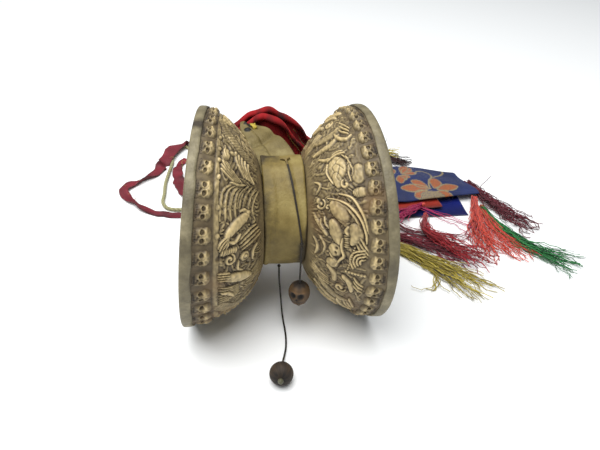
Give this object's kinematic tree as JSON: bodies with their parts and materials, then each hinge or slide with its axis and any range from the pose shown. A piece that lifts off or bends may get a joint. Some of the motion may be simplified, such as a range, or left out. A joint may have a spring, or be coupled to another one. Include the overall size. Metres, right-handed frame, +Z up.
{
  "type": "two-headed hand drum",
  "caption": "Hourglass hand drum: two carved bowls joined at a belted waist, skin heads, swinging striker beads on cords, wrist ribbon and a silk banner tail with tassels.",
  "frame": {"origin": "middle of the base of the whole object, free cords left out, on the surface that it lies on", "axes": "+X along the drum axis from the left bowl to the right bowl, +Y from the striker side to the tail side, +Z up"},
  "size_m": [0.409, 0.3506, 0.15],
  "materials": {
    "bone": "aged carved bone or horn, dark patina in the cuts",
    "rawhide": "dried rawhide, semi-matt",
    "leather": "undyed vegetable-tanned leather, worn smooth",
    "hardwood": "plain hardwood, unfinished",
    "cotton_cord": "waxed twisted cotton, dark brown",
    "bead_bone": "carved bead, darkened by handling",
    "cord_knot": "undyed cotton knot",
    "olive_cord": "twisted cotton cord, olive",
    "crimson_silk": "thin silk ribbon, frayed edges",
    "red_velvet": "silk velvet, deep red pile",
    "blue_brocade": "woven silk brocade with gold lotus figures",
    "red_lining": "plain red silk lining",
    "navy_silk": "navy silk satin",
    "yellow_silk": "yellow silk strip",
    "maroon_thread": "loose silk threads",
    "coral_thread": "loose silk threads",
    "green_thread": "loose silk threads",
    "red_thread": "loose silk threads",
    "magenta_thread": "loose silk threads",
    "dark_red_thread": "loose silk threads",
    "yellow_thread": "loose silk threads",
    "dark_thread": "loose silk threads, maroon and yellow"
  },
  "bodies": {
    "drum": {"left_bowl": "bone", "right_bowl": "bone", "left_drumhead": "rawhide", "right_drumhead": "rawhide", "neck_gasket": "leather", "joining_dowel": "hardwood", "left_dowel_washer": "hardwood", "right_dowel_washer": "hardwood", "left_dowel_pin": "hardwood", "right_dowel_pin": "hardwood", "waist_belt": "leather", "belt_tab": "leather", "tail_tie": "yellow_silk", "belt_knot": "cotton_cord", "belt_cord": "cotton_cord", "hanging_cord": "olive_cord", "wrist_ribbon": "crimson_silk", "ribbon_end": "crimson_silk", "velvet_inner": "red_velvet", "velvet_outer": "red_velvet", "brocade_banner": "blue_brocade", "red_lining": "red_lining", "navy_leaf": "navy_silk", "maroon_fringe": "maroon_thread", "coral_tassel": "coral_thread", "green_tassel": "green_thread", "red_tassel": "red_thread", "magenta_tassel": "magenta_thread", "dark_red_tassel": "dark_red_thread", "yellow_tassel": "yellow_thread", "back_fringe": "dark_thread"},
    "front_hitch": {"front_cord_hitch": "cotton_cord"},
    "front_striker": {"front_striker_cord": "cotton_cord"},
    "front_bead": {"front_bead": "bead_bone", "front_bead_stopper": "cord_knot"},
    "skull_hitch": {"skull_cord_hitch": "cotton_cord"},
    "skull_striker": {"skull_striker_cord": "cotton_cord"},
    "skull_bead": {"skull_bead": "bead_bone", "skull_bead_stopper": "cord_knot"}
  },
  "joints": [
    {"name": "front_cord_swivel", "type": "hinge", "parent": "drum", "child": "front_hitch", "pos_m": [-0.06949, -0.09939, 0.04515], "axis": [0, 0, 1], "range_deg": [-30, 30]},
    {"name": "front_striker_lift", "type": "hinge", "parent": "front_hitch", "child": "front_striker", "pos_m": [-0.06949, -0.09939, 0.04515], "axis": [-1, 0, 0], "range_deg": [0, 60]},
    {"name": "front_bead_spin", "type": "hinge", "parent": "front_striker", "child": "front_bead", "pos_m": [-0.07337, -0.16448, 0.00816], "axis": [-0.1566, -0.9393, 0.3053], "continuous": true},
    {"name": "skull_cord_swing", "type": "hinge", "parent": "drum", "child": "skull_hitch", "pos_m": [-0.05669, -0.11489, 0.075], "axis": [-1, 0, 0], "range_deg": [0, 135]},
    {"name": "skull_striker_sway", "type": "hinge", "parent": "skull_hitch", "child": "skull_striker", "pos_m": [-0.05669, -0.11489, 0.075], "axis": [0, 1, 0], "range_deg": [-6, 30]},
    {"name": "skull_bead_spin", "type": "hinge", "parent": "skull_striker", "child": "skull_bead", "pos_m": [-0.05669, -0.11489, 0.0335], "axis": [0, 0, 1], "continuous": true}
  ]
}
